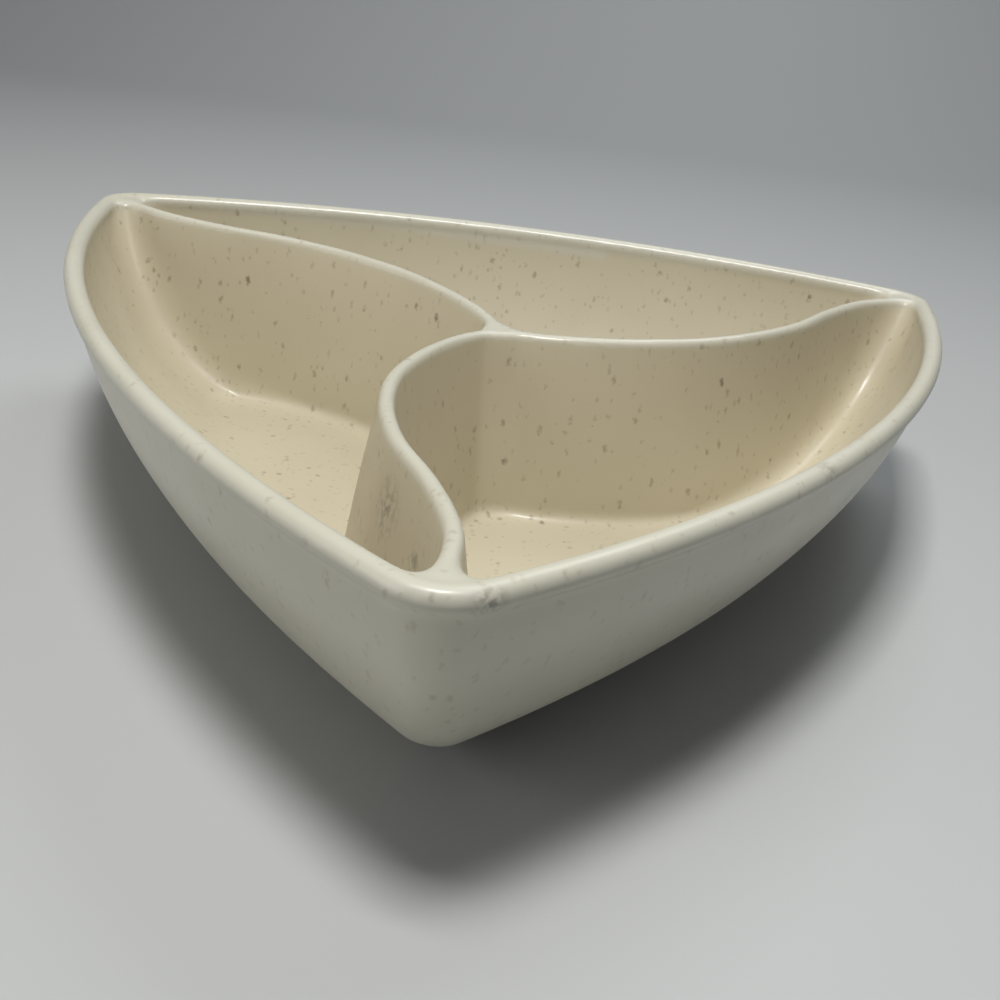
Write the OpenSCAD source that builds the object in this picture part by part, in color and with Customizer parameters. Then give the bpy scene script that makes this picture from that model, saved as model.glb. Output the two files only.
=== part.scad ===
// Divided serving bowl: a rounded triangle with three swirling dividers that meet in the middle.
// Millimetres. The origin is the middle of the underside, +Z is up, and one corner points along -Y.

/* [Whole bowl] */
// Height from the table to the top of the rim
bowl_h = 64; // [50:1:90]
// Distance from the middle to the rim's centre line at a corner
corner_reach = 160; // [110:1:200]
// How far a side of the rim bulges out past a straight line between its corners
side_bulge = 24.5; // [12:0.5:40]
// Radius of the rim's centre line round a corner
corner_r = 11.7; // [8:0.1:20]

/* [Rim] */
// Width of the rounded rim across its top
rim_w = 5; // [4:0.1:8]
// Height of the rounded rim
rim_h = 5.5; // [4:0.1:9]

/* [Wall] */
// Thickness of the wall, measured level
wall_t = 3.3; // [2.5:0.1:5]
// How far the wall's outer face stands out from the rim's centre line at the very top
wall_out = 1.2; // [0.5:0.1:2]
// How far the wall runs in from the rim to the foot before the lower edge is rounded
wall_flare = 40; // [25:0.5:45]
// How far the wall swells outward of a straight slope, halfway up
wall_swell = 9; // [0:0.5:14]
// Height over which the lower edge is rounded
edge_h = 25; // [15:0.5:32]
// How far the rounding of the lower edge runs in
edge_in = 19; // [10:0.5:24]
// Radius of the outer wall's corner at the foot
foot_corner_r = 7; // [4:0.5:16]
// Radius of the inner corners, which are broad all the way down
inner_corner_r = 8.2; // [5:0.1:16]

/* [Base] */
// Thickness of the floor
floor_t = 4.5; // [3:0.5:8]

/* [Dividers] */
// Thickness of a divider just under its rounded top
divider_top_w = 3.8; // [3:0.1:6]
// Thickness of a divider at the floor
divider_foot_w = 18.5; // [10:0.5:22]
// How much lower than the rim the dividers meet in the middle
middle_drop = 7; // [0:0.5:14]
// Length over which a divider widens into the wall
web_run = 12; // [4:1:20]
// Half of a divider's thickness where it has reached the wall
web_w = 5; // [3:0.1:8]
// Length of each arm of the middle piece
hub_out = 14; // [13:0.5:24]

/* [Hidden] */
// Swirl of a divider's centre line: how far aside and how far out it is, as shares of corner_reach
swirl_shares = [
    [0, 0], [-0.049, 0.06], [-0.085, 0.13], [-0.116, 0.22], [-0.137, 0.34], [-0.13, 0.47],
    [-0.097, 0.6], [-0.038, 0.73], [0, 0.85], [0.002, 0.95], [0, 1.1]
];
// Share of the bulge that is left at the foot, where the sides are almost straight
foot_bulge_share = 0.2;
// How sharply the webs of the middle piece turn: 1 would be a sharp crotch
crotch_share = 0.8;
corner_turns = 3;
turn_step = 360 / corner_turns;
half_turn = turn_step / 2;
corner_steps = 10;
side_steps = 18;
wall_steps = 8;
floor_steps = 3;
rim_steps = 12;
line_steps = 6;
// Room left between a divider's side and the wall that it runs beside, and its least thickness there
wall_clear = wall_t / 20;
thin_web = wall_t / 4;
span_steps = 22;
web_steps = 6;
level_power = 1.5;
// Over 1, a divider widens faster just under its top than near the floor
widen_power = 1.3;
top_angles = [0, 25, 50, 70, 85];
half_rim = rim_w / 2;
side_reach = (corner_reach + corner_r) / 2 + side_bulge;
// How far a corner runs in from rim to table, and the share of that by which the middle of a side does
foot_inset = wall_flare + edge_in - wall_out;
foot_side = (corner_reach - foot_inset + foot_corner_r) / 2 + side_bulge * foot_bulge_share;
side_share = (side_reach - foot_side) / foot_inset;
rim_foot_z = bowl_h - rim_h;
bar_z = bowl_h - half_rim;
corner_drop = bowl_h - bar_z - half_rim * sin(bead_angle(wall_steps + len(top_angles) - 1));

// Outlines of the rounded triangle

// How far past the middle the centre of a side's long arc lies
function arc_back(reach, side, r) =
    (pow(reach - r, 2) - pow(side - r, 2)) / (2 * (side - r) - (reach - r));

// Half of the angle that a corner's arc takes up
function corner_half(reach, side, r) =
    let (b = arc_back(reach, side, r))
    90 - atan2(reach - r + b * cos(half_turn), b * sin(half_turn));

// One third of the outline: a corner's arc and the long arc of the side after it
function third(reach, side, r) =
    let (b = arc_back(reach, side, r), half = corner_half(reach, side, r), long_r = b + side)
    concat(
        [for (i = [0 : corner_steps - 1])
            let (a = -90 - half + 2 * half * i / corner_steps)
            [r * cos(a), r - reach + r * sin(a)]],
        [for (i = [0 : side_steps - 1])
            let (a = -90 + half + (turn_step - 2 * half) * i / side_steps)
            [long_r * cos(a) - b * sin(half_turn), long_r * sin(a) + b * cos(half_turn)]]
    );

function turned(p, a) = [p[0] * cos(a) - p[1] * sin(a), p[0] * sin(a) + p[1] * cos(a)];

// The whole outline at one height, as points in space
function ring(reach, side, r, z) =
    let (part = third(reach, side, r))
    [for (k = [0 : corner_turns - 1]) for (p = part) let (q = turned(p, k * turn_step)) [q[0], q[1], z]];

function rim_ring(out, z) = ring(corner_reach + out, side_reach + out, corner_r + out, z);

// How far the rounding over a floor runs in, at a height above that floor
function edge_inset(up) =
    up >= edge_h ? 0 : edge_in * (1 - sqrt(1 - pow(1 - up / edge_h, 2)));

// How far the sloping wall has run in from the rim's centre line at a height
function slope_inset(z) =
    let (down = 1 - z / bowl_h)
    wall_flare * down - wall_swell * 4 * down * (1 - down) - wall_out;

function outer_ring(z) =
    let (run_in = slope_inset(z) + edge_inset(z), down = 1 - z / bowl_h)
    ring(
        corner_reach - run_in, side_reach - run_in * side_share,
        corner_r + (foot_corner_r - corner_r) * down, z
    );

function inner_inset(z) = slope_inset(z) + edge_inset(z - floor_t) + wall_t;

function inner_ring(z) =
    let (run_in = inner_inset(z) - wall_t)
    ring(corner_reach - run_in - wall_t, side_reach - run_in * side_share - wall_t, inner_corner_r, z);

function wall_height(i) = floor_t + (rim_foot_z - floor_t) * pow(i / wall_steps, level_power);

// A closed skin over rings, each ring anticlockwise seen from the side of the last one
module skin(rings, loop) {
    n = len(rings[0]);
    m = len(rings);
    sides = [
        for (i = [0 : m - (loop ? 1 : 2)]) for (j = [0 : n - 1])
            let (a = i * n + j, b = i * n + (j + 1) % n, up = ((i + 1) % m) * n)
            each [[a, up + j, up + (j + 1) % n], [a, up + (j + 1) % n, b]]
    ];
    caps = loop ? [] : [[for (j = [0 : n - 1]) j], [for (j = [n - 1 : -1 : 0]) (m - 1) * n + j]];
    polyhedron(points = [for (r = rings) each r], faces = concat(sides, caps), convexity = 8);
}

// Base, wall and rim

module base_plate()
    color([0.90, 0.88, 0.80])
        skin([for (i = [0 : floor_steps]) outer_ring(floor_t * i / floor_steps)], false);

module outer_wall()
    color([0.91, 0.89, 0.82])
        skin(
            concat(
                [for (i = [0 : wall_steps]) outer_ring(wall_height(i))],
                [for (i = [wall_steps : -1 : 0]) inner_ring(wall_height(i))]
            ),
            true
        );

// The rim is a rounded bead that stands out over the wall
module rim_lip()
    color([0.93, 0.92, 0.86])
        skin(
            concat(
                [outer_ring(rim_foot_z)],
                [for (i = [0 : rim_steps])
                    let (a = 180 * i / rim_steps)
                    rim_ring(half_rim * cos(a), bar_z + half_rim * sin(a))],
                [inner_ring(rim_foot_z)]
            ),
            true
        );

// Dividers

// A smooth curve through four points, between the middle two
function smooth(a, b, c, d, t) =
    0.5 * (2 * b + (c - a) * t + (2 * a - 5 * b + 4 * c - d) * t * t + (3 * b - a - 3 * c + d) * t * t * t);

last_share = len(swirl_shares) - 1;
// How far out the centre line is, and how far aside there, in small steps
line = [
    for (i = [0 : last_share - 1]) for (j = [0 : line_steps - 1])
        let (
            p = smooth(
                swirl_shares[max(i - 1, 0)], swirl_shares[i], swirl_shares[i + 1],
                swirl_shares[min(i + 2, last_share)], j / line_steps
            )
        )
        [p[1] * corner_reach, p[0] * corner_reach]
];
look = corner_reach / 40;

function centre(out) = [lookup(out, line), -out];

function across(out) =
    let (d = centre(out + look) - centre(max(out - look, 0)))
    [-d[1], d[0]] / norm(d);

half_top = divider_top_w / 2;
half_foot = divider_foot_w / 2;
level_count = wall_steps + len(top_angles);

// How far out a divider reaches at one level of its section, where it meets the wall or the rim
function reach_at(k) =
    k <= wall_steps
        ? corner_reach - inner_inset(wall_height(k))
        : corner_reach + half_rim * cos(bead_angle(k));

function bead_angle(k) = 180 * (1 - (k - wall_steps - 1) / rim_steps);

function top_z(out) = bowl_h - corner_drop - (middle_drop - corner_drop) * max(0, 1 - out / corner_reach);

// Height of one level of the section
function level_z(k, out) =
    let (shoulder = top_z(out) - half_top)
    k <= wall_steps
        ? floor_t + (shoulder - floor_t) * pow(k / wall_steps, level_power)
        : shoulder + half_top * sin(top_angles[k - wall_steps]);

// Half of the thickness of a divider at one level, before it nears the wall
function level_w(k) =
    k <= wall_steps
        ? half_foot + (half_top - half_foot) * pow(k / wall_steps, level_power * widen_power)
        : half_top * cos(top_angles[k - wall_steps]);

// Half of the room between the walls at a height, a distance out towards a corner
function half_room(z, out) =
    let (
        run_in = inner_inset(min(z, rim_foot_z)) - wall_t, reach = corner_reach - run_in - wall_t,
        side = side_reach - run_in * side_share - wall_t, b = arc_back(reach, side, inner_corner_r),
        mid = reach - inner_corner_r, half = corner_half(reach, side, inner_corner_r)
    )
    out > mid + inner_corner_r * cos(half)
        ? sqrt(max(0, pow(inner_corner_r, 2) - pow(out - mid, 2)))
        : sqrt(pow(b + side, 2) - pow(out + b * cos(half_turn), 2)) - b * sin(half_turn);

// One point of a divider's side, a share of the way along, kept just inside the walls
function side_point(k, share, hand) =
    let (
        out = hub_out + (reach_at(k) - hub_out) * share,
        near = pow(max(0, 1 - (reach_at(k) - out) / web_run), 2),
        middle = [centre(out)[0] * (1 - near), -out],
        w = level_w(k) + (web_w - level_w(k)) * near,
        q = middle + across(out) * hand * w,
        z = level_z(k, out),
        room = max(half_room(z, -q[1]) - wall_clear, wall_clear + thin_web)
    )
    [
        hand > 0 ? max(thin_web - room, min(q[0], room)) : min(room - thin_web, max(q[0], -room)),
        q[1],
        z
    ];

// The ring of the wall or of the rim's bead on which the end of a divider lies at one level
function end_ring(k) =
    k <= wall_steps
        ? inner_ring(wall_height(k))
        : let (a = bead_angle(k)) rim_ring(half_rim * cos(a), bar_z + half_rim * sin(a));

function span_share(i) = 1 - pow(1 - i / span_steps, 1.4);

module divider(turn) {
    patch = [for (k = [0 : level_count - 1]) let (r = end_ring(k)) [for (j = [0 : corner_steps]) r[j]]];
    up = [for (k = [0 : level_count - 1]) k];
    down = [for (k = [level_count - 1 : -1 : 0]) k];
    rings = concat(
        [for (i = [0 : span_steps - 1])
            concat(
                [for (k = up) side_point(k, span_share(i), 1)],
                [for (k = down) side_point(k, span_share(i), -1)]
            )],
        [concat([for (k = up) patch[k][corner_steps]], [for (k = down) patch[k][0]])]
    );
    n = len(rings[0]);
    m = len(rings);
    w = corner_steps + 1;
    first = n * m;
    sides = [
        for (i = [0 : m - 2]) for (j = [0 : n - 1])
            let (a = i * n + j, b = i * n + (j + 1) % n)
            each [[a, a + n, b + n], [a, b + n, b]]
    ];
    start = [[for (j = [0 : n - 1]) j]];
    end = [
        for (k = [0 : level_count - 2]) for (j = [0 : corner_steps - 1])
            let (a = first + k * w + j)
            each [[a, a + w, a + 1], [a + 1, a + w, a + w + 1]]
    ];
    foot = [[for (j = [0 : corner_steps]) first + j]];
    top = [[for (j = [corner_steps : -1 : 0]) first + (level_count - 1) * w + j]];
    rotate(turn)
        polyhedron(
            points = concat([for (r = rings) each r], [for (r = patch) each r]),
            faces = concat(sides, start, end, foot, top),
            convexity = 8
        );
}

module divider_front() color([0.89, 0.86, 0.77]) divider(0);
module divider_right() color([0.88, 0.85, 0.76]) divider(turn_step);
module divider_left() color([0.87, 0.84, 0.75]) divider(2 * turn_step);

// Middle piece

// Where two lines meet, each through a point in a direction
function meeting(p, d, q, e) =
    let (w = q - p, t = (w[0] * e[1] - w[1] * e[0]) / (d[0] * e[1] - d[1] * e[0]))
    p + t * d;

function bend(a, b, c, d, t) =
    pow(1 - t, 3) * a + 3 * pow(1 - t, 2) * t * b + 3 * (1 - t) * t * t * c + pow(t, 3) * d;

// Outline of the middle piece at one level of the section
function star(k) =
    let (
        p = side_point(k, 0, 1), q = side_point(k, 0, -1), side = across(hub_out),
        d = [side[1], -side[0]], right = [p[0], p[1]], left = turned([q[0], q[1]], turn_step),
        back = turned(d, turn_step), crotch = meeting(right, d, left, back)
    )
    [for (m = [0 : corner_turns - 1]) for (i = [0 : web_steps])
        let (
            c = bend(
                right, right + (crotch - right) * crotch_share,
                left + (crotch - left) * crotch_share, left, i / web_steps
            ),
            r = turned(c, m * turn_step)
        )
        [r[0], r[1], p[2]]];

module divider_hub() {
    rings = [for (k = [0 : level_count - 1]) star(k)];
    n = len(rings[0]);
    m = len(rings);
    low = m * n;
    high = m * n + 1;
    points = concat([for (r = rings) each r], [[0, 0, rings[0][0][2]], [0, 0, rings[m - 1][0][2]]]);
    sides = [
        for (i = [0 : m - 2]) for (j = [0 : n - 1])
            let (a = i * n + j, b = i * n + (j + 1) % n)
            each [[a, a + n, b + n], [a, b + n, b]]
    ];
    caps = [for (j = [0 : n - 1])
        let (b = (j + 1) % n)
        each [[low, j, b], [high, (m - 1) * n + b, (m - 1) * n + j]]];
    color([0.90, 0.87, 0.78])
        polyhedron(points = points, faces = concat(sides, caps), convexity = 8);
}

base_plate();
outer_wall();
rim_lip();
divider_front();
divider_right();
divider_left();
divider_hub();
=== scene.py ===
"""Divided serving bowl: one glossy, speckled moulding with a rounded rim and three swirling dividers."""
import math

import bpy
import numpy as np
import openvdb
from mathutils import Matrix, Vector


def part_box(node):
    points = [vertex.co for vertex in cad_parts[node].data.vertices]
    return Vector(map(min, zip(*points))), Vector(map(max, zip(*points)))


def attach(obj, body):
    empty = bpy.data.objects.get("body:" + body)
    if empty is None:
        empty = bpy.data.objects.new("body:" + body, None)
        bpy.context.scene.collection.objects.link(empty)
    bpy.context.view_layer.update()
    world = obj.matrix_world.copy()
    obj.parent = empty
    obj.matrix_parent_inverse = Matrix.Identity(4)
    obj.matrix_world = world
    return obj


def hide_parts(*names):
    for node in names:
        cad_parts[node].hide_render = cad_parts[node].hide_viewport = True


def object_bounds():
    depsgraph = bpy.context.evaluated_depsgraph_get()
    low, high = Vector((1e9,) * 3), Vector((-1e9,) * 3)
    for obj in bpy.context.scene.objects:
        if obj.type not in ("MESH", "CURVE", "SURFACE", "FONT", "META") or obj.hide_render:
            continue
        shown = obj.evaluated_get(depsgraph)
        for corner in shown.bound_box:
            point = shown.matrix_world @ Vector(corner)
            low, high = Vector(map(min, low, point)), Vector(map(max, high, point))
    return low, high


# Frame
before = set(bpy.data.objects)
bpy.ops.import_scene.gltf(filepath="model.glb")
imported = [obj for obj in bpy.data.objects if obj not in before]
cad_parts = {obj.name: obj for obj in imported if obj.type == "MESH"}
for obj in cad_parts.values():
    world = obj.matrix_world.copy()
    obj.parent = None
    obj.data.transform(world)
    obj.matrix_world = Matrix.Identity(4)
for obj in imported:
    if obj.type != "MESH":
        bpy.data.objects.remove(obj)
cad_low, cad_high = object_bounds()

# Sizes of the moulding, in millimetres as in the part's source
MM = 0.001
RIM_W = 5.0
HALF_RIM = RIM_W / 2
BOWL_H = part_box("rim_lip")[1][2] / MM
CORNER_REACH = -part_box("rim_lip")[0][1] / MM - HALF_RIM
SIDE_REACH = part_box("rim_lip")[1][1] / MM - HALF_RIM
CORNER_R = 11.7
WALL_T = 3.3
WALL_OUT = 1.2
WALL_FLARE = 40.0
WALL_SWELL = 9.0
EDGE_H = 25.0
EDGE_IN = 19.0
FOOT_CORNER_R = 7.0
INNER_CORNER_R = 8.2
FOOT_BULGE_SHARE = 0.2
FLOOR_T = 4.5
DIVIDER_TOP_W = 3.8
DIVIDER_FOOT_W = 18.5
# Over 1, a divider widens faster just under its top than near the floor
WIDEN_POWER = 1.3
# How far a divider's top lies below the rim, in the middle and at a corner
MIDDLE_DROP = 7.0
CORNER_DROP = 0.75

# Fillets, which only the skin has: at the rim, at the floor, where a divider runs into the wall
# at its top and at its foot, and between the dividers in the middle
RIM_FILLET = 1.0
FLOOR_FILLET = 3.5
TOP_FILLET = 10.5
LOW_FILLET = 18.0
FILLET_POWER = 4.0
MIDDLE_FILLET = 7.0

# Swirl of a divider's centre line: aside and out, as shares of the corner's reach
SWIRL_SHARES = np.array([
    [0, 0], [-0.049, 0.06], [-0.085, 0.13], [-0.116, 0.22], [-0.137, 0.34], [-0.13, 0.47],
    [-0.097, 0.6], [-0.038, 0.73], [0, 0.85], [0.002, 0.95], [0, 1.1],
])
LAST_PLACE = len(SWIRL_SHARES) - 1
# Places tried between two shares, then how often the nearest is bettered and by how much at most
LINE_STEPS = 3
LINE_TURNS = 4
LONGEST_MOVE = 0.5

# Worked out from these
TURN = 2 * math.pi / 3
HALF_TURN = math.pi / 3
BEAD_Z = BOWL_H - HALF_RIM
HALF_TOP = DIVIDER_TOP_W / 2
HALF_FOOT = DIVIDER_FOOT_W / 2
SIDE_BULGE = SIDE_REACH - (CORNER_REACH + CORNER_R) / 2
FOOT_INSET = WALL_FLARE + EDGE_IN - WALL_OUT
FOOT_SIDE = (CORNER_REACH - FOOT_INSET + FOOT_CORNER_R) / 2 + SIDE_BULGE * FOOT_BULGE_SHARE
SIDE_SHARE = (SIDE_REACH - FOOT_SIDE) / FOOT_INSET


# Form of the bowl as signed distances
def blend_share(a, b, width):
    """How much of the first distance counts in a blend of two, from 0 to 1."""
    return np.clip(0.5 + 0.5 * (b - a) / width, 0, 1)


def blend_min(a, b, width):
    """The lesser of two distances, with a fillet where they cross."""
    share = blend_share(a, b, width)
    return b + (a - b) * share - width * share * (1 - share)


def swirl_place(along):
    """Place and direction on a divider's centre line, which is a smooth curve through the shares."""
    i = np.clip(along.astype(int), 0, LAST_PLACE - 1)
    t = (along - i)[:, None]
    a, b, c, d = (SWIRL_SHARES[np.clip(i + k, 0, LAST_PLACE)] for k in (-1, 0, 1, 2))
    square = 2 * a - 5 * b + 4 * c - d
    cube = 3 * b - a - 3 * c + d
    place = 0.5 * (2 * b + (c - a) * t + square * t ** 2 + cube * t ** 3)
    way = 0.5 * (c - a + 2 * square * t + 3 * cube * t ** 2)
    return place * CORNER_REACH, way * CORNER_REACH


def nearest_on_swirl(point):
    """The place on one divider's centre line that is nearest to each point."""
    least = np.full(len(point), np.inf)
    along = np.zeros(len(point))
    steps = np.linspace(0, LAST_PLACE, LAST_PLACE * LINE_STEPS + 1)
    for step, place in zip(steps, swirl_place(steps)[0]):
        gap = ((point - place) ** 2).sum(1)
        closer = gap < least
        least[closer] = gap[closer]
        along[closer] = step
    for _ in range(LINE_TURNS):
        place, way = swirl_place(along)
        move = ((point - place) * way).sum(1) / (way ** 2).sum(1)
        along = np.clip(along + np.clip(move, -LONGEST_MOVE, LONGEST_MOVE), 0, LAST_PLACE)
    return swirl_place(along)[0]


def divider_plan(x, y):
    """Distance in plan to the dividers' centre lines, and how far out the nearest place on them is."""
    shape = x.shape
    x, y = x.ravel(), y.ravel()
    gaps = []
    outs = []
    for k in range(3):
        c, s = math.cos(k * TURN), math.sin(k * TURN)
        point = np.stack([x * c + y * s, x * s - y * c], 1)
        place = nearest_on_swirl(point)
        gaps.append(np.hypot(*(point - place).T))
        outs.append(np.hypot(*place.T))
    out = np.choose(np.argmin(gaps, 0), outs)
    joined = blend_min(blend_min(gaps[0], gaps[1], MIDDLE_FILLET), gaps[2], MIDDLE_FILLET)
    return joined.reshape(shape), out.reshape(shape)


def fold(x, y):
    """Plan positions turned and mirrored into the half corner at -Y."""
    a = -np.round((np.arctan2(y, x) + math.pi / 2) / TURN) * TURN
    return np.abs(x * np.cos(a) - y * np.sin(a)), x * np.sin(a) + y * np.cos(a)


def outline(x, y, reach, side, r):
    """Distance in plan from a rounded triangle of corner arcs and long side arcs."""
    a = reach - r
    k = side - r
    back = (a * a - k * k) / (2 * k - a)
    cx, cy = -back * math.sin(HALF_TURN), back * math.cos(HALF_TURN)
    in_corner = -cx * (y - cy) + (a + cy) * (x - cx) < 0
    return np.where(in_corner, np.hypot(x, y + a) - r, np.hypot(x - cx, y - cy) - back - side)


def edge_inset(up):
    """How far the rounded lower edge draws the wall in, at a height over its start."""
    u = np.clip(1 - up / EDGE_H, 0, 1)
    return EDGE_IN * (1 - np.sqrt(1 - u * u))


def slope_inset(z):
    """How far the wall's slope draws it in, at a height."""
    down = 1 - z / BOWL_H
    return WALL_FLARE * down - WALL_SWELL * 4 * down * (1 - down) - WALL_OUT


def outer_wall(x, y, z):
    """Distance in plan from the wall's outer face, below 0 inside it."""
    inset = slope_inset(z) + edge_inset(z)
    r = CORNER_R + (FOOT_CORNER_R - CORNER_R) * (1 - z / BOWL_H)
    return outline(x, y, CORNER_REACH - inset, SIDE_REACH - inset * SIDE_SHARE, r)


def inner_wall(x, y, z):
    """Distance in plan from the wall's inner face, below 0 inside it."""
    inset = slope_inset(z) + edge_inset(z - FLOOR_T)
    side = SIDE_REACH - inset * SIDE_SHARE - WALL_T
    return outline(x, y, CORNER_REACH - inset - WALL_T, side, INNER_CORNER_R)


def divider_top(out):
    """Height of a divider's top, which is lowest in the middle."""
    return BOWL_H - CORNER_DROP - (MIDDLE_DROP - CORNER_DROP) * np.clip(1 - out / CORNER_REACH, 0, 1)


def bowl(x, y, z, plan=None):
    """Signed distance from the whole moulding."""
    joined, out = plan or divider_plan(x, y)
    fx, fy = fold(x, y)
    z_in = np.clip(z, 0, BOWL_H)
    inside = -inner_wall(fx, fy, z_in)
    shoulder = divider_top(out) - HALF_TOP
    up = np.clip((z - FLOOR_T) / (shoulder - FLOOR_T), 0, 1)
    side = joined - (HALF_FOOT + (HALF_TOP - HALF_FOOT) * up ** WIDEN_POWER)
    fillet = LOW_FILLET + (TOP_FILLET - LOW_FILLET) * up ** FILLET_POWER
    plan_gap = blend_min(side, inside, fillet)
    # Towards the wall the rounded top rises to the rim
    shoulder = BEAD_Z + (shoulder - BEAD_Z) * blend_share(side, inside, fillet)
    capped = np.hypot(np.maximum(plan_gap + HALF_TOP, 0), z - shoulder) - HALF_TOP
    solid = np.where(z < shoulder, plan_gap, capped)
    solid = blend_min(solid, z - FLOOR_T, FLOOR_FILLET)
    shell = np.maximum(np.maximum(solid, outer_wall(fx, fy, z_in)), -z)
    bead = np.hypot(outline(fx, fy, CORNER_REACH, SIDE_REACH, CORNER_R), z - BEAD_Z) - HALF_RIM
    return blend_min(shell, bead, RIM_FILLET)


# Where the painted browner tone of the inside, which stands in for light bounced between the
# compartment's walls, starts below a divider's top, as a share of half the rim
BOUNCE_TONE_START_SHARE = 0.2


def inside_share(points):
    """How far each point is on the inside of a compartment, from 0 on the rim and tops to 1; it masks the
    painted tone of bounced light inside, and how strongly the flecks show.
    """
    x, y, z = points.T
    depth = -outer_wall(*fold(x, y), np.clip(z, 0, BOWL_H))
    _, out = divider_plan(x, y)
    below = divider_top(out) - z
    past_wall = np.clip((depth - WALL_T / 2) / (WALL_T / 2), 0, 1)
    return past_wall * np.clip(below / HALF_RIM - BOUNCE_TONE_START_SHARE, 0, 1)


# Mesh of the moulding
VOXEL = 1.1
MARGIN = 4.0
BAND = 3 * VOXEL
# The mesh's points are pulled onto the exact form twice, by its slope over a short probe
PULLS = 2
PROBE = VOXEL / 10
LEAST_SLOPE = 0.2


def moulding_mesh():
    """The zero surface of the bowl, drawn as one skin."""
    spans = [
        np.arange(cad_low[k] / MM - MARGIN, cad_high[k] / MM + MARGIN, VOXEL) for k in range(3)
    ]
    plan_x, plan_y = np.meshgrid(spans[0], spans[1], indexing="ij")
    plan = divider_plan(plan_x, plan_y)
    layers = [bowl(plan_x, plan_y, np.full_like(plan_x, height), plan) for height in spans[2]]
    field = np.clip(np.stack(layers, 2), -BAND, BAND)
    grid = openvdb.FloatGrid(BAND)
    grid.copyFromArray(field.astype(np.float32))
    points, quads = grid.convertToQuads(isovalue=0.0)
    points = points.astype(float) * VOXEL + [span[0] for span in spans]
    for _ in range(PULLS):
        x, y, z = points.T
        plan = divider_plan(x, y)
        here = bowl(x, y, z, plan)
        beside = [bowl(x + PROBE, y, z), bowl(x, y + PROBE, z), bowl(x, y, z + PROBE, plan)]
        slope = (np.stack(beside, 1) - here[:, None]) / PROBE
        size = np.maximum((slope ** 2).sum(1), LEAST_SLOPE)
        move = np.clip(here / size, -VOXEL / 2, VOXEL / 2)
        points -= slope * move[:, None]
    mesh = bpy.data.meshes.new("moulding")
    mesh.from_pydata((points * MM).tolist(), [], quads[:, ::-1].tolist())
    mesh.shade_smooth()
    share = mesh.attributes.new("inside_share", "FLOAT", "POINT")
    share.data.foreach_set("value", inside_share(points))
    return mesh


# Colours of the moulding
WHITE = (1, 1, 1)
BLACK = (0, 0, 0)
CREAM = (0.56, 0.54, 0.445)
# Painted bounce light: the inside of the compartments is painted warmer and a little darker than the
# cream itself, for the light bounced between its walls
CREAM_PAINTED_BOUNCE = (0.55, 0.494, 0.365)
CLOUD_TINT = (0.95, 0.94, 0.92)
MARK_GREY = (0.16, 0.14, 0.11)

# Grain of the moulding: cells or waves to a metre
CLOUD_SCALE = 14
GLOSS_SCALE = 60
BUMP_SCALE = 90
SPECK_SCALE = 650
WARP_SCALE = 700

# Flecks: cells to a metre, share of cells that hold one, reach in the cell, strength and colour
FLECKS = [
    (260, 0.4, 0.25, 0.75, (0.31, 0.25, 0.165)),
    (460, 0.4, 0.32, 0.6, (0.34, 0.30, 0.22)),
    (150, 0.08, 0.17, 0.9, (0.20, 0.165, 0.11)),
]
FLECK_CORE_SHARE = 0.3
FLECK_STRETCH = (1, 1, 0.6)
FLECK_WARP = 0.002
FLECKS_OUTSIDE_SHARE = 0.5

# Worn spots seen in the photograph: place and reach in millimetres, and strength
MARKS = [
    ((8, -160, 62), 3, 0.7), ((73, -92, 63), 2, 0.5), ((-15, -106, 49), 7, 0.7), ((-7, -125, 48), 3, 0.8),
    ((86, -66, 46), 5, 0.4),
]

# Gloss: roughness where it is smoothest and dullest, a thin coat, and a slight unevenness in metres
SMOOTHEST = 0.34
DULLEST = 0.46
PLASTIC_IOR = 1.5
COAT = 0.15
COAT_ROUGHNESS = 0.15
BUMP_STRENGTH = 0.1
BUMP_DEPTH = 0.0005

# Sockets of a Mix node, which has a set of them for each kind of value
MIX_COLOURS = (6, 7)
MIX_COLOUR_OUT = 2
MIX_VECTORS = (4, 5)
MIX_VECTOR_OUT = 1


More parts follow.
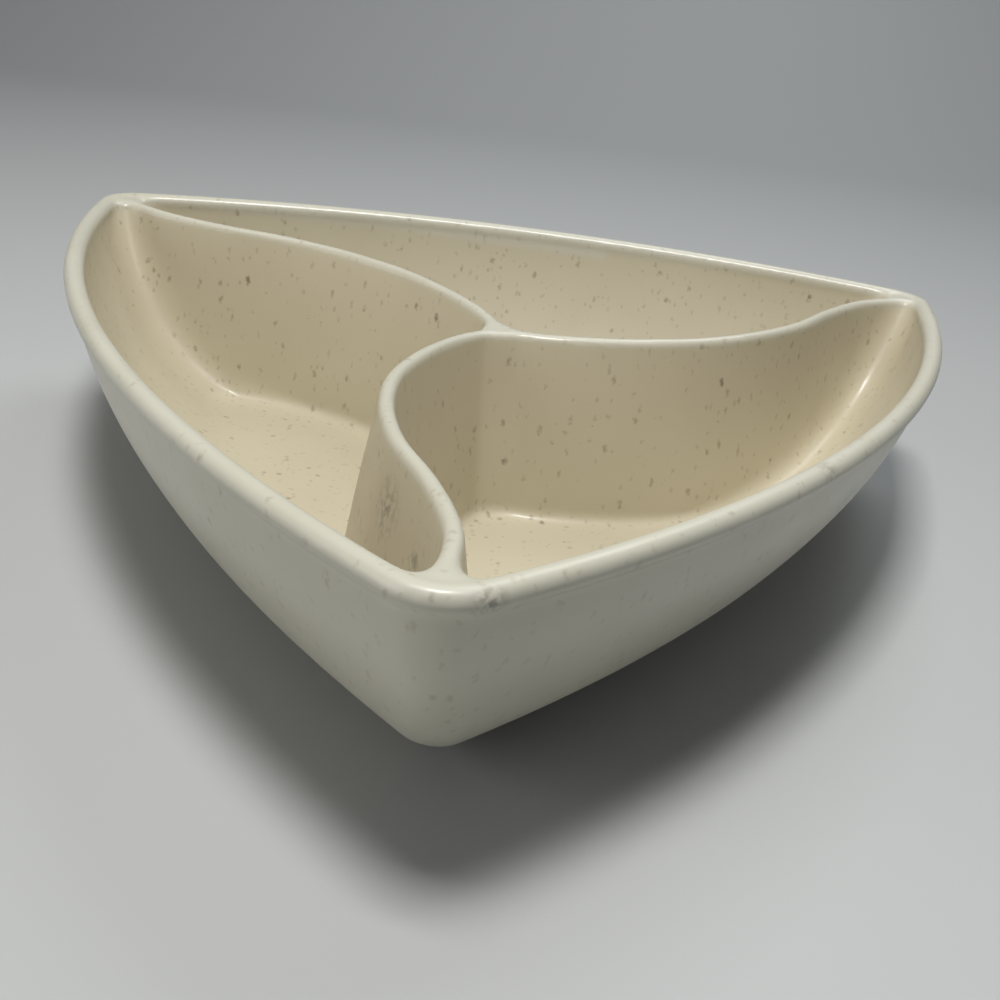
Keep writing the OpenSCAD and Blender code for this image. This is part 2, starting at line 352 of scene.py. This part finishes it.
def glossy_cream():
    """Glossy cream moulding with fine flecks, faint clouding, a few worn spots, and a painted browner
    tone inside the compartments that stands in for bounced light.
    """
    material = bpy.data.materials.new("speckled_cream")
    material.use_nodes = True
    nodes, links = material.node_tree.nodes, material.node_tree.links
    shader = nodes["Principled BSDF"]
    where = nodes.new("ShaderNodeTexCoord").outputs["Object"]

    def noise(scale, detail):
        node = nodes.new("ShaderNodeTexNoise")
        node.inputs["Scale"].default_value = scale
        node.inputs["Detail"].default_value = detail
        links.new(where, node.inputs["Vector"])
        return node

    def ramp(source, *stops):
        """A colour ramp through stops, each a place and a colour or a level of grey."""
        node = nodes.new("ShaderNodeValToRGB")
        for element, (place, colour) in zip(node.color_ramp.elements, stops):
            element.position = place
            element.color = (*(colour if isinstance(colour, tuple) else (colour,) * 3), 1)
        links.new(source, node.inputs["Fac"])
        return node.outputs["Color"]

    def mix(factor, first, second, way="MIX"):
        """Two colours, each a value or a socket, mixed by a factor's socket or, with None, in full."""
        node = nodes.new("ShaderNodeMix")
        node.data_type = "RGBA"
        node.blend_type = way
        if factor is None:
            node.inputs["Factor"].default_value = 1
        else:
            links.new(factor, node.inputs["Factor"])
        for socket, value in zip(MIX_COLOURS, (first, second)):
            if isinstance(value, tuple):
                node.inputs[socket].default_value = (*value, 1)
            else:
                links.new(value, node.inputs[socket])
        return node.outputs[MIX_COLOUR_OUT]

    def fleck_place():
        """Places that are stretched and slightly warped, so that the flecks are uneven."""
        stretched = nodes.new("ShaderNodeMapping")
        stretched.inputs["Scale"].default_value = FLECK_STRETCH
        links.new(where, stretched.inputs["Vector"])
        warped = nodes.new("ShaderNodeMix")
        warped.data_type = "VECTOR"
        warped.inputs["Factor"].default_value = FLECK_WARP
        sources = (stretched.outputs["Vector"], noise(WARP_SCALE, 2).outputs["Color"])
        for socket, source in zip(MIX_VECTORS, sources):
            links.new(source, warped.inputs[socket])
        return warped.outputs[MIX_VECTOR_OUT]

    def flecks(scale, share, reach, strength, vector):
        """The strength where a fleck lies, and 0 elsewhere: a share of the cells holds one."""
        cells = nodes.new("ShaderNodeTexVoronoi")
        cells.inputs["Scale"].default_value = scale
        links.new(vector, cells.inputs["Vector"])
        near = ramp(cells.outputs["Distance"], (reach * FLECK_CORE_SHARE, strength), (reach, 0))
        chance = nodes.new("ShaderNodeSeparateColor")
        links.new(cells.outputs["Color"], chance.inputs["Color"])
        kept = nodes.new("ShaderNodeMath")
        kept.operation = "LESS_THAN"
        kept.inputs[1].default_value = share
        links.new(chance.outputs["Red"], kept.inputs[0])
        both = nodes.new("ShaderNodeMath")
        both.operation = "MULTIPLY"
        links.new(near, both.inputs[0])
        links.new(kept.outputs[0], both.inputs[1])
        return both.outputs[0]

    def mark(spot, reach, strength):
        """A small worn spot of broken dark specks round one place."""
        gap = nodes.new("ShaderNodeVectorMath")
        gap.operation = "DISTANCE"
        links.new(where, gap.inputs[0])
        gap.inputs[1].default_value = [v * MM for v in spot]
        near = ramp(gap.outputs["Value"], (0, WHITE), (reach * MM, BLACK))
        specks = ramp(noise(SPECK_SCALE, 3).outputs["Fac"], (0.42, BLACK), (0.58, strength))
        return mix(None, near, specks, "MULTIPLY")

    inside = nodes.new("ShaderNodeAttribute")
    inside.attribute_name = "inside_share"
    clouds = ramp(noise(CLOUD_SCALE, 4).outputs["Fac"], (0.35, CLOUD_TINT), (0.65, WHITE))
    # The cream is mixed with the painted bounce tone by how far inside a compartment each point is
    body = mix(None, mix(inside.outputs["Fac"], CREAM, CREAM_PAINTED_BOUNCE), clouds, "MULTIPLY")
    place = fleck_place()
    flecked = body
    for scale, share, reach, strength, tone in FLECKS:
        flecked = mix(flecks(scale, share, reach, strength, place), flecked, tone)
    shown = ramp(inside.outputs["Fac"], (0, FLECKS_OUTSIDE_SHARE), (1, WHITE))
    colour = mix(shown, body, flecked)
    for spot, reach, strength in MARKS:
        colour = mix(mark(spot, reach, strength), colour, MARK_GREY)
    links.new(colour, shader.inputs["Base Color"])
    rough = ramp(noise(GLOSS_SCALE, 5).outputs["Fac"], (0.3, SMOOTHEST), (0.75, DULLEST))
    links.new(rough, shader.inputs["Roughness"])
    shader.inputs["IOR"].default_value = PLASTIC_IOR
    shader.inputs["Coat Weight"].default_value = COAT
    shader.inputs["Coat Roughness"].default_value = COAT_ROUGHNESS
    bump = nodes.new("ShaderNodeBump")
    bump.inputs["Strength"].default_value = BUMP_STRENGTH
    bump.inputs["Distance"].default_value = BUMP_DEPTH
    links.new(noise(BUMP_SCALE, 2).outputs["Fac"], bump.inputs["Height"])
    links.new(bump.outputs["Normal"], shader.inputs["Normal"])
    return material


moulding = bpy.data.objects.new("bowl_moulding", moulding_mesh())
bpy.context.scene.collection.objects.link(moulding)
moulding.data.materials.append(glossy_cream())
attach(moulding, "root")
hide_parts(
    "base_plate", "outer_wall", "rim_lip", "divider_front", "divider_right", "divider_left",
    "divider_hub",
)

# Camera at the photograph's place
PHOTO_LENS = 39.57
SENSOR = 36.0
NEAREST_SEEN = 0.01
EYE = Vector((8.4, -302.1, 146.1)) * MM
LOOK = Vector((-0.0066, 0.9046, -0.4262))
UP = Vector((-0.1284, 0.4219, 0.8975))

camera_data = bpy.data.cameras.new("camera")
camera_data.lens = PHOTO_LENS
camera_data.sensor_width = SENSOR
camera_data.clip_start = NEAREST_SEEN
camera = bpy.data.objects.new("camera", camera_data)
bpy.context.scene.collection.objects.link(camera)
right = LOOK.cross(UP).normalized()
turned = Matrix((right, right.cross(LOOK).normalized(), -LOOK.normalized())).transposed()
camera.matrix_world = Matrix.Translation(EYE) @ turned.to_4x4()
bpy.context.scene.camera = camera

# The table runs back and sweeps up into a plain wall
SWEEP_WIDE = 3.0
SWEEP_FRONT = -2.5
SWEEP_BACK = 0.9
SWEEP_R = 0.5
SWEEP_TOP = 2.0
SWEEP_STEPS = 24
TABLE_COLOUR = (0.458, 0.462, 0.458)
TABLE_ROUGHNESS = 0.6


def sweep_mesh():
    """A sheet across the scene: flat in front, then a quarter round, then upright."""
    profile = [(SWEEP_FRONT, 0.0)]
    for i in range(SWEEP_STEPS + 1):
        a = math.pi / 2 * i / SWEEP_STEPS
        profile.append((SWEEP_BACK + SWEEP_R * math.sin(a), SWEEP_R * (1 - math.cos(a))))
    profile.append((SWEEP_BACK + SWEEP_R, SWEEP_TOP))
    points = [(side * SWEEP_WIDE, y, z) for y, z in profile for side in (-1, 1)]
    faces = [(2 * i, 2 * i + 1, 2 * i + 3, 2 * i + 2) for i in range(len(profile) - 1)]
    mesh = bpy.data.meshes.new("table")
    mesh.from_pydata(points, [], faces)
    mesh.shade_smooth()
    return mesh


table_top = bpy.data.materials.new("table_top")
table_top.use_nodes = True
table_shader = table_top.node_tree.nodes["Principled BSDF"]
table_shader.inputs["Base Color"].default_value = (*TABLE_COLOUR, 1)
table_shader.inputs["Roughness"].default_value = TABLE_ROUGHNESS
table = bpy.data.objects.new("table", sweep_mesh())
table.data.materials.append(table_top)
bpy.context.scene.collection.objects.link(table)

# Lamps: name, place, aim, size, power and colour
LAMPS = [
    ("ceiling", (-0.05, -0.2, 0.85), (0, 0, 0), 0.2, 6.3, (1.0, 1.0, 0.99)),
    ("window", (0.35, 0.8, 1.2), (0, 0.3, 0), 0.7, 6, (0.93, 0.97, 1.0)),
    ("side", (-1.0, -0.5, 0.45), (0, 0, 0), 0.6, 2.5, (1.0, 0.99, 0.97)),
]

for name, place, aim, size, power, colour in LAMPS:
    light = bpy.data.lights.new(name, "AREA")
    light.size = size
    light.energy = power
    light.color = colour
    lamp = bpy.data.objects.new(name, light)
    lamp.location = place
    lamp.rotation_euler = (Vector(aim) - Vector(place)).to_track_quat("-Z", "Y").to_euler()
    bpy.context.scene.collection.objects.link(lamp)

# Room light, and the paler grey that the camera, and whatever mirrors the room, sees behind the table
ROOM_COLOUR = (0.90, 0.95, 1.0)
ROOM_STRENGTH = 0.13
BACKDROP_COLOUR = (0.30, 0.31, 0.32)

world = bpy.data.worlds.new("room")
bpy.context.scene.world = world
world.use_nodes = True
world_nodes, world_links = world.node_tree.nodes, world.node_tree.links
room = world_nodes["Background"]
room.inputs["Color"].default_value = (*ROOM_COLOUR, 1)
room.inputs["Strength"].default_value = ROOM_STRENGTH
backdrop = world_nodes.new("ShaderNodeBackground")
backdrop.inputs["Color"].default_value = (*BACKDROP_COLOUR, 1)
path = world_nodes.new("ShaderNodeLightPath")
seen = path.outputs["Is Camera Ray"]
for ray in ("Is Glossy Ray", "Is Transmission Ray"):
    either = world_nodes.new("ShaderNodeMath")
    either.operation = "MAXIMUM"
    world_links.new(seen, either.inputs[0])
    world_links.new(path.outputs[ray], either.inputs[1])
    seen = either.outputs[0]
chosen = world_nodes.new("ShaderNodeMixShader")
world_links.new(seen, chosen.inputs[0])
world_links.new(room.outputs[0], chosen.inputs[1])
world_links.new(backdrop.outputs[0], chosen.inputs[2])
world_links.new(chosen.outputs[0], world_nodes["World Output"].inputs["Surface"])

bpy.context.scene.view_settings.view_transform = "Standard"
